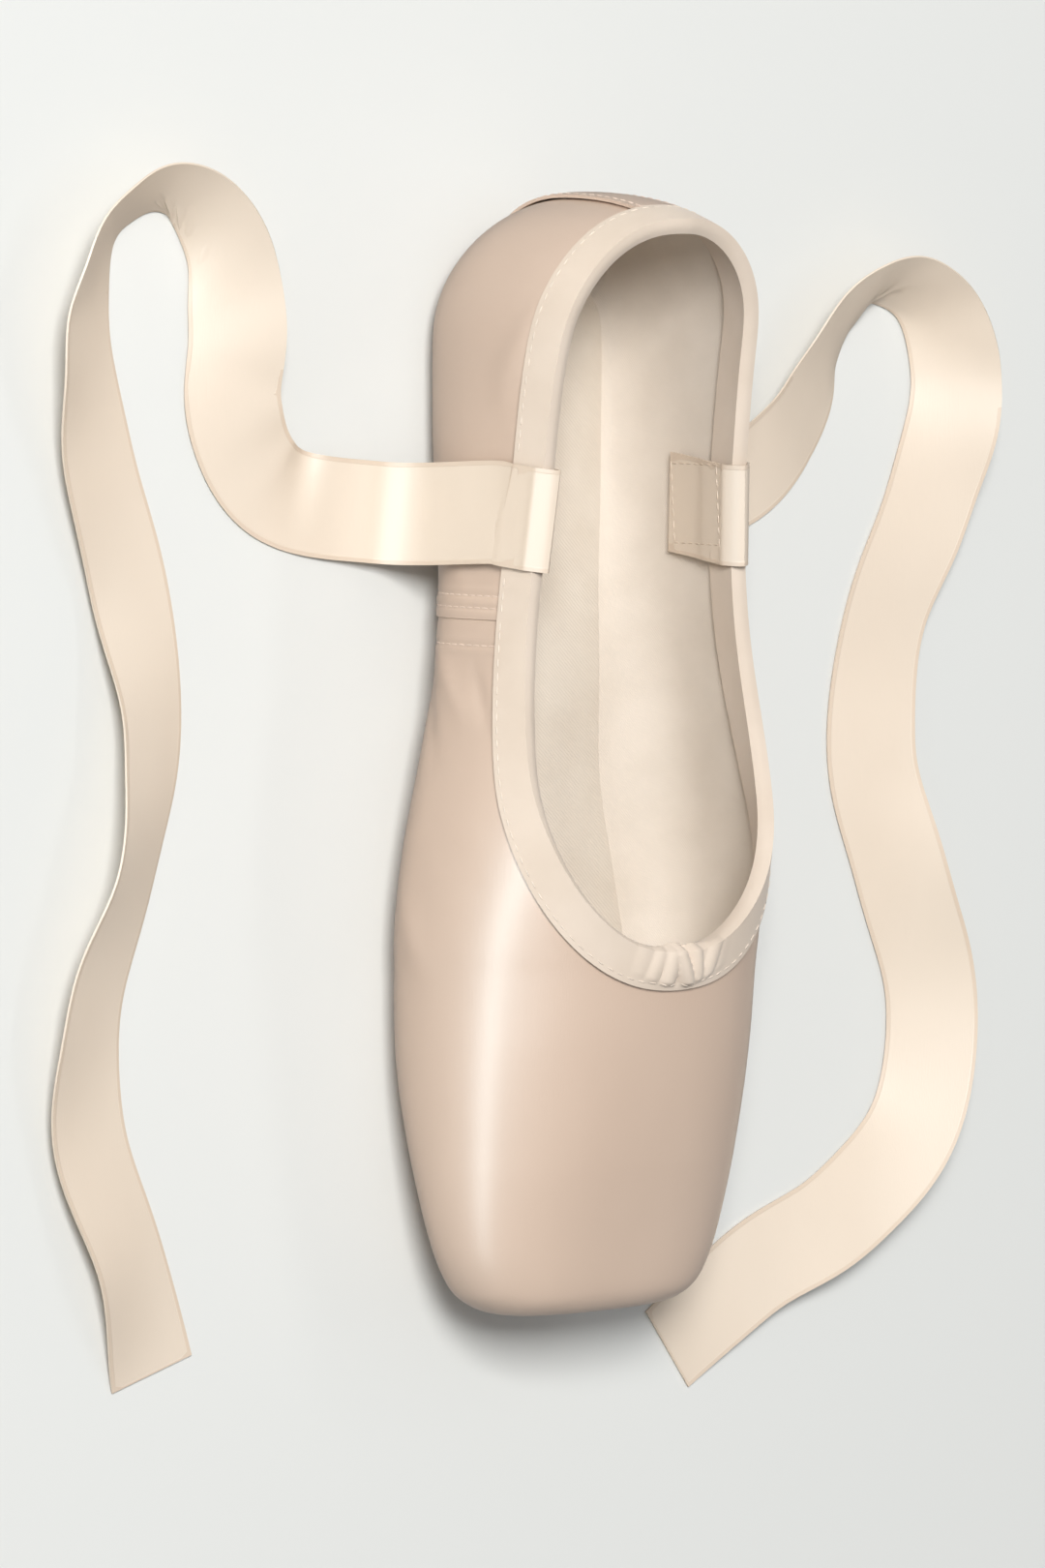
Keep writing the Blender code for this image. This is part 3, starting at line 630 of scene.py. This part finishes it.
def in_pleat(fold, place):
    """How far along a pleat a place is, as a share, and how far off its crest, in millimetres."""
    x, y = place.x / MM - fold.foot_x, (place.y - SOLE_TIP) / MM - fold.foot_y
    way = Vector((fold.tip_x - fold.foot_x, fold.tip_y - fold.foot_y))
    length = way.length
    way.normalize()
    along = (x * way.x + y * way.y) / length
    bow = fold.curve * math.sin(math.pi * min(max(along, 0), 1))
    return along, (x * way.y - y * way.x - bow) * fold.side


def toe_relief(place, normal):
    """Height of the pleats at a place on the underside of the toe."""
    rise = sink = 0.0
    for fold in PLEATS:
        along, off = in_pleat(fold, place)
        if not -PLEAT_RUN_IN < along < 1.0 or not -PLEAT_LIP < off < 2 * fold.width:
            continue
        height = fold.height * (1 - max(along, 0) ** 2)
        width = fold.width * (PLEAT_FOOT + PLEAT_SPREAD * max(along, 0))
        if off >= 0:
            rise = max(rise, height * max(1 - off / width, 0) ** PLEAT_BACK)
        elif off > -PLEAT_DROP:
            rise = max(rise, height * (1 + off / PLEAT_DROP))
            sink = max(sink, PLEAT_FURROW * height * -off / PLEAT_DROP)
        else:
            filled = ease((-off - PLEAT_DROP) / (PLEAT_LIP - PLEAT_DROP))
            sink = max(sink, PLEAT_FURROW * height * (1 - filled))
    return (rise - sink) * MM * ease((-normal.z - DOWN_FROM) / DOWN_RANGE)


def crease_relief(place, normal):
    """Height of the soft creases at a place on the side of the shoe."""
    here = Vector((place.y, place.z)) / MM
    rise = 0.0
    for line in CREASES:
        if place.x * line.side < 0:
            continue
        start = Vector(line.start)
        way = Vector(line.end) - start
        along = (here - start).dot(way) / way.length_squared
        if not 0 < along < 1:
            continue
        off = (here - start - way * along).length / line.width
        rise += line.height * math.exp(-off * off) * math.sin(math.pi * along)
    return rise * MM * ease((abs(normal.x) - CREASE_FACING) / CREASE_RANGE)


def seam_relief(place, normal):
    """Height of the side seam's fold, and of the puffs beside its rows of stitches."""
    if abs(normal.y) >= SEAM_FACING:
        return 0.0
    behind = (place.y - SEAM_Y) / MM
    height = 0.0
    if FOLD_EDGE < behind < FOLD_END:
        height = SEAM_STEP * (1 - ease((behind - FOLD_TOP) / (FOLD_END - FOLD_TOP)))
    elif -GROOVE < behind <= FOLD_EDGE:
        height = -GROOVE_SHARE * SEAM_STEP * (1 - ease(-behind / GROOVE))
    for row, _, _ in SEAM_ROWS:
        off = abs(behind - row)
        puff = math.exp(-((off - PUFF_OFF) / PUFF_WIDTH) ** 2)
        height += SEAM_PUFF * (puff - math.exp(-(off / PUFF_WIDTH) ** 2))
    return height


def shoe_relief(place, normal):
    """Height of all folds, pleats, puffs and creases at a place on the satin."""
    return seam_relief(place, normal) + toe_relief(place, normal) + crease_relief(place, normal)


def join_close_rows(piece):
    """Takes out the row of corners that runs close to another in the satin at the throat."""
    edit(piece, "EDGE")
    form = bmesh.from_edit_mesh(piece.data)
    first, last = CLOSE_ROW
    for edge in form.edges:
        in_row = all(first < corner.co.y < last for corner in edge.verts)
        edge.select_set(in_row and not edge.seam)
    bmesh.update_edit_mesh(piece.data)
    bpy.ops.mesh.dissolve_edges(use_verts=True)
    done()


def level_rows(piece):
    """Evens out the close rows of corners in the satin beside the throat."""

    def beside_throat(face):
        middle = face.calc_center_median()
        inside = abs(middle.y - LEVEL_MIDDLE) < LEVEL_REACH and middle.z > LEVEL_LOW
        return inside and face.material_index == SKIN and not at_sharp_edge(face)

    edit(piece)
    select_faces(piece, beside_throat)
    for _ in range(LEVEL_ROUNDS):
        bpy.ops.mesh.vertices_smooth(factor=LEVEL_IN)
        bpy.ops.mesh.vertices_smooth(factor=LEVEL_OUT)
    done()


def under_toe(face):
    """Whether a face is on the satin that is pleated under the toe."""
    middle = face.calc_center_median()
    ahead = middle.y < SOLE_TIP + TOE_REACH and middle.z < TOE_HEIGHT
    return ahead and face.material_index == SKIN and face.normal.z < TOE_FACING


def near_seam(face):
    """Whether a face is on the satin beside a side seam."""
    return face.material_index == SKIN and abs(face.calc_center_median().y - SEAM_Y) < SEAM_REACH


def cut_seam_rows(piece):
    """Cuts the satin across at the side seam, for its fold and its puffs."""
    edit(piece)
    for off in SEAM_CUTS:
        select_faces(piece, near_seam)
        bpy.ops.mesh.bisect(plane_co=(0, SEAM_Y + off * MM, 0), plane_no=(0, 1, 0))
    done()


def drop_spare_corners(piece):
    """Takes out corners that only two edges meet in, because the two faces there can fold flat."""
    edit(piece, "VERT")
    form = bmesh.from_edit_mesh(piece.data)
    for corner in form.verts:
        corner.select_set(len(corner.link_edges) == 2)
    bmesh.update_edit_mesh(piece.data)
    bpy.ops.mesh.dissolve_verts()
    done()


def make_upper(skin, lining):
    piece = copy_of("upper", "satin_upper", 0)
    piece.data.materials.append(lining)
    piece.data.materials.append(skin)
    cover(piece, lambda face: face.calc_center_median().y, SKIN)
    join_close_rows(piece)
    add_and_apply(piece, "SUBSURF", levels=2, render_levels=2)
    refine(piece, under_toe, PLEAT_CELL)
    cut_seam_rows(piece)
    level_rows(piece)
    outside = {k for face in piece.data.polygons if face.material_index == SKIN for k in face.vertices}
    press(piece, shoe_relief, outside)
    edit(piece)
    select_faces(piece, under_toe)
    bpy.ops.mesh.vertices_smooth(factor=0.5, repeat=4)
    done()
    drop_spare_corners(piece)
    smooth(piece)
    return piece


# Binding

# Bunches of tape at the drawstring, from side to side, with a sharp furrow between each two
BUNCHES = (
    Bunch(-11.5, 0.30, 2.6, 0.45),
    Bunch(-7.4, 0.30, 2.3, 1.05),
    Bunch(-3.4, 0.10, 2.5, 1.80),
    Bunch(1.0, -0.50, 2.5, 2.35),
    Bunch(4.7, -0.20, 1.9, 1.40),
    Bunch(8.0, 0.30, 2.2, 1.00),
    Bunch(11.6, 0.35, 2.5, 0.40),
)
# In millimetres: where a bunch crosses its own x, and the dip of the tape between the bunches
BUNCH_Y = 4
BUNCH_FLOOR = 0.5
BUNCH_FLOOR_WIDTH = 8

# Stretch of the tape with fine faces, behind its front edge and to each side, and how much of
# its sides is softened in the end
FINE_REACH = 13 * MM
FINE_SPAN = 15 * MM
SOFT_SPAN = 13 * MM
# In millimetres: how far back and to the sides the gather goes, and over what it fades out. The
# bunches rise by a share of their height
GATHER_REACH = 14
GATHER_SPAN = 15
GATHER_FADE = 5
GATHER_SHARE = 0.8
# How far the tape's hem bows back, in millimetres for each square millimetre to the side. The
# strip of it that stays flat and the length over which the gather rises are in millimetres
HEM_BOW = 0.02
HEM_FLAT = 0.6
HEM_RISE = 1.8
# How much the tape has to look up, and forward as well, for the gather to rise on it
UP_LEAN = -0.4
UP_FROM = -0.2
UP_RANGE = 0.6


def bunch_height(x, y):
    """Height of the gathered tape over its plain face, in millimetres, y from its lower edge."""
    rise = 0.0
    for fold in BUNCHES:
        off = (x - fold.x - fold.lean * (y - BUNCH_Y)) / fold.width
        rise = max(rise, fold.height * (1 - off * off))
    return rise - BUNCH_FLOOR * math.exp(-(x / BUNCH_FLOOR_WIDTH) ** 2)


def make_binding(tape):
    piece = copy_of("binding", "throat_binding", 2)
    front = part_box("binding")[0].y
    piece.data.materials.append(tape)

    def within(face, span):
        middle = face.calc_center_median()
        return middle.y < front + FINE_REACH and abs(middle.x) < span

    def gather_relief(place, normal):
        x, y = place.x / MM, (place.y - front) / MM
        if y > GATHER_REACH or abs(x) > GATHER_SPAN:
            return 0.0
        from_hem = ease((y - HEM_BOW * x * x - HEM_FLAT) / HEM_RISE)
        outward = ease((normal.z + normal.y * UP_LEAN - UP_FROM) / UP_RANGE)
        from_side = ease((GATHER_SPAN - abs(x)) / GATHER_FADE)
        return bunch_height(x, y) * GATHER_SHARE * MM * outward * from_hem * from_side

    edit(piece)
    select_faces(piece, lambda face: within(face, FINE_SPAN))
    bpy.ops.mesh.subdivide(number_cuts=3, smoothness=0)
    done()
    press(piece, gather_relief)
    edit(piece)
    select_faces(piece, lambda face: within(face, SOFT_SPAN) and not at_sharp_edge(face))
    bpy.ops.mesh.vertices_smooth(factor=0.4)
    done()
    smooth(piece)
    return piece


# Other parts of the shoe

def score_lines():
    """The scored lines in plan: a point on each, and the way across it."""
    start = Vector((0, SOLE_TIP + SCORE_START, 0))
    lines = []
    for family in SCORES:
        across = Vector((family.side * math.cos(family.angle), -math.sin(family.angle), 0))
        lines += [(start + across * k * SCORE_SPACING, across) for k in range(family.count)]
    return lines


def make_sole(leather, edge, scored):
    piece = copy_of("outsole", "leather_sole", 0, SOLE_SHARP)
    for finish in (edge, leather, scored):
        piece.data.materials.append(finish)
    cover(piece, lambda face: face.normal.z, UNDERSIDE)
    add_and_apply(piece, "SUBSURF", levels=2, render_levels=2)
    lines = score_lines()
    edit(piece)
    for start, across in lines:
        for off in (-0.5, 0, 0.5):
            select_faces(piece, lambda face: face.material_index == UNDERSIDE)
            bpy.ops.mesh.bisect(plane_co=start + across * off * SCORE_WIDTH, plane_no=across)
    done()

    def off_line(place):
        return min(abs((place - start).dot(across)) for start, across in lines)

    under = {k for face in piece.data.polygons if face.material_index == UNDERSIDE for k in face.vertices}
    for face in piece.data.polygons:
        if face.material_index == UNDERSIDE and off_line(face.center) < 0.5 * SCORE_WIDTH:
            face.material_index = SCORED
    press(piece, lambda place, normal: -SCORE_DEPTH if off_line(place) < ON_SCORE else 0.0, under)
    smooth(piece, SOLE_SMOOTH)
    return piece


def make_insole(sock):
    piece = copy_of("insole", "insole_sock", 1)
    piece.data.materials.append(sock)
    smooth(piece)
    return piece


def make_back_strip(skin):
    piece = copy_of("back_strip", "heel_strip", 2)
    piece.data.materials.append(skin)
    smooth(piece)
    return piece


# Stitches

def seam_loops(piece):
    """The closed lines of a piece's sharp edges, longest first."""
    form = bmesh.new()
    form.from_mesh(piece.data)
    sharp = [edge for edge in form.edges if edge.seam]
    left = set(sharp)
    loops = []
    for first in sharp:
        if first not in left:
            continue
        left.discard(first)
        corner = first.verts[1]
        line = [first.verts[0].co.copy(), corner.co.copy()]
        while True:
            onward = [edge for edge in corner.link_edges if edge in left]
            if not onward:
                break
            left.discard(onward[0])
            corner = onward[0].other_vert(corner)
            line.append(corner.co.copy())
        loops.append(line)
    form.free()
    return sorted(loops, key=line_length, reverse=True)


def line_length(line):
    return sum((b - a).length for a, b in zip(line, line[1:]))


def evenly(line, pitch):
    """Points at an even pitch along a line, each with the line's direction there."""
    found, walked, due = [], 0.0, pitch / 2
    for a, b in zip(line, line[1:]):
        length = (b - a).length
        while length and walked + length >= due:
            found.append((a.lerp(b, (due - walked) / length), (b - a).normalized()))
            due += pitch
        walked += length
    return found


def surface_of(piece):
    form = bmesh.new()
    form.from_mesh(piece.data)
    tree = BVHTree.FromBMesh(form)
    form.free()
    return tree


def hem_stitches(binding, upper, ribbons):
    """Where the stitches lie along the lower edge of the tape, apart from those under a ribbon,
    with their direction and normal."""
    hem = seam_loops(binding)[0]
    tree = surface_of(binding)
    satin_tree = surface_of(upper)
    covers = [surface_of(ribbon) for ribbon in ribbons]
    middle = sum(hem, Vector()) / len(hem)
    found = []
    for point, along in evenly(hem, HEM_PITCH):
        outward = satin_tree.find_nearest(point)[1]
        up = outward.cross(along).normalized()
        if up.dot(middle + HEM_AIM - point) < 0:
            up = -up
        place, normal, _, _ = tree.find_nearest(point + up * HEM + outward * MM)
        if min(ribbon.find_nearest(place)[3] for ribbon in covers) > UNDER_RIBBON:
            found.append((place, along, normal))
    return found


def cast_line(tree, starts, way):
    """Points where rays from the starts meet a surface, with their normals."""
    hits = [tree.ray_cast(start, way) for start in starts]
    return [(hit[0], hit[1]) for hit in hits if hit[0] is not None]


def row_stitches(hits, pitch):
    """Stitches along a line of surface points."""
    found = []
    line = [place for place, _ in hits]
    for point, along in evenly(line, pitch):
        normal = min(hits, key=lambda hit: (hit[0] - point).length_squared)[1]
        found.append((point, along, normal))
    return found


def shared_out(start, end, steps):
    """Values from start to end at even steps."""
    return [start + (end - start) * k / steps for k in range(steps + 1)]


def seam_stitches(upper):
    """Rows of stitches beside both side seams."""
    tree = surface_of(upper)
    found = []
    for off, low, high in SEAM_ROWS:
        for side in (-1, 1):
            y = SEAM_Y + off * MM
            starts = [Vector((side * SIDE_START, y, z)) for z in shared_out(low, high, SEAM_RAYS)]
            found += row_stitches(cast_line(tree, starts, Vector((-side, 0, 0))), SEAM_PITCH)
    return found


def strip_stitches(strip):
    """Rows of stitches along both edges of the heel strip."""
    tree = surface_of(strip)
    low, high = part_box("back_strip")
    foot = low.z + STRIP_FOOT
    top = foot + high.z - low.z - STRIP_ENDS
    found = []
    for x in (-STRIP_ROW, STRIP_ROW):
        starts = [Vector((x, high.y + BACK_START, z)) for z in shared_out(foot, top, STRIP_RAYS)]
        found += row_stitches(cast_line(tree, starts, Vector((0, -1, 0))), STRIP_PITCH)
    return found


def ribbon_stitches(ribbon, side):
    """A square of stitches that holds a ribbon's end to the inside of the quarter."""
    tree = surface_of(ribbon)
    inside = [corner.co for corner in ribbon.data.vertices if abs(corner.co.x) < RIBBON_INSIDE]
    low = min(corner.z for corner in inside) + RIBBON_MARGIN
    end = [corner.y for corner in inside if corner.z < low + RIBBON_MARGIN]
    front, back = min(end) + RIBBON_MARGIN, max(end) - RIBBON_MARGIN
    high = low + back - front
    found = []
    corners = [(front, low), (back, low), (back, high), (front, high), (front, low)]
    for (y0, z0), (y1, z1) in zip(corners, corners[1:]):
        places = zip(shared_out(y0, y1, RIBBON_RAYS), shared_out(z0, z1, RIBBON_RAYS))
        starts = [Vector((0, y, z)) for y, z in places]
        found += row_stitches(cast_line(tree, starts, Vector((side, 0, 0))), RIBBON_PITCH)
    return found


def make_stitches(name, places, finish):
    """One stitch, rounded and half sunk, repeated at every place."""
    deselect()
    bpy.ops.mesh.primitive_uv_sphere_add(segments=8, ring_count=5, radius=0.5)
    piece = bpy.context.object
    piece.name = name
    bpy.ops.object.mode_set(mode="EDIT")
    bpy.ops.mesh.select_all(action="SELECT")
    bpy.ops.transform.rotate(value=math.pi / 2, orient_axis="Y", center_override=(0, 0, 0))
    bpy.ops.transform.resize(value=(STITCH_LENGTH, STITCH_THICK, STITCH_THICK))
    done()
    one = [corner.co.copy() for corner in piece.data.vertices]
    faces = [list(face.vertices) for face in piece.data.polygons]
    corners, shells = [], []
    for place, along, normal in places:
        side = normal.cross(along).normalized()
        ahead = side.cross(normal).normalized()
        turn = Matrix((ahead, side, normal)).transposed()
        base = len(corners)
        corners += [place + turn @ corner for corner in one]
        shells += [[base + k for k in face] for face in faces]
    mesh = bpy.data.meshes.new(name)
    mesh.from_pydata(corners, [], shells)
    piece.data = mesh
    mesh.materials.append(finish)
    smooth(piece, STITCH_SMOOTH)
    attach(piece, "root")
    return piece


# Ribbons

def mark_rim(piece):
    """Writes 1 at the corners on the ribbon's square edges and 0 at all others, for its selvedge."""
    form = bmesh.new()
    form.from_mesh(piece.data)
    square = [edge for edge in form.edges if edge.calc_face_angle(0) > RIM_ANGLE]
    on_rim = {corner.index for edge in square for corner in edge.verts}
    form.free()
    rim = piece.data.attributes.new("rim", "FLOAT", "POINT")
    for k in on_rim:
        rim.data[k].value = 1.0


def make_ribbon(side, finish):
    piece = copy_of("ribbon_" + side, "satin_ribbon_" + side, 2)
    piece.data.materials.append(finish)
    mark_rim(piece)
    for corner in piece.data.vertices:
        out = abs(corner.co.x) / MM
        up = corner.co.z / MM
        clear = ease((out - CLEAR_OUT) / CLEAR_OUT_RANGE) * ease((up - CLEAR_UP) / CLEAR_UP_RANGE)
        corner.co.x += math.copysign(RIBBON_CLEAR * clear, corner.co.x)
    smooth(piece)
    return piece


# The whole shoe

make_camera()
ribbon_finish = ribbon_satin(
    light=(0.77, 0.66, 0.54),
    deep=(0.73, 0.615, 0.495),
    selvedge=(0.69, 0.565, 0.445),
)
ribbon_right = make_ribbon("right", ribbon_finish)
ribbon_left = make_ribbon("left", ribbon_finish)
shoe_satin = satin(
    "shoe_satin",
    light=(0.645, 0.492, 0.383),
    deep=(0.605, 0.456, 0.352),
    roughness=0.46,
    sheen=0.6,
)
lining = cotton(
    "cotton_lining",
    light=(0.74, 0.66, 0.57),
    deep=(0.68, 0.60, 0.51),
    weave=900,
    depth=0.05 * MM,
)
tape_finish = cotton(
    "tape_twill",
    light=(0.71, 0.60, 0.495),
    deep=(0.66, 0.55, 0.445),
    weave=None,
    depth=0.06 * MM,
)
buff = sole_leather("sole_leather", front=(0.78, 0.66, 0.54), heel=(0.66, 0.50, 0.35))
edge_brown = plain("sole_edge", (0.38, 0.25, 0.15), roughness=0.7)
sock = cotton(
    "insole_sock",
    light=(0.72, 0.64, 0.545),
    deep=(0.66, 0.575, 0.48),
    weave=700,
    depth=0.06 * MM,
)
thread = plain("satin_thread", (0.80, 0.64, 0.53), roughness=0.45)
tape_thread = plain("tape_thread", (0.78, 0.67, 0.56), roughness=0.55)
ribbon_thread = plain("ribbon_thread", (0.70, 0.57, 0.45), roughness=0.5)
scored = plain("scored_lines", (0.68, 0.55, 0.38), roughness=0.75)
upper = make_upper(shoe_satin, lining)
binding = make_binding(tape_finish)
make_sole(buff, edge_brown, scored)
make_insole(sock)
strip = make_back_strip(shoe_satin)
on_hem = hem_stitches(binding, upper, (ribbon_right, ribbon_left))
make_stitches("hem_stitches", on_hem, tape_thread)
make_stitches("seam_stitches", seam_stitches(upper) + strip_stitches(strip), thread)
sewn = ribbon_stitches(ribbon_right, -1) + ribbon_stitches(ribbon_left, 1)
make_stitches("ribbon_stitches", sewn, ribbon_thread)
make_floor()
make_lights()
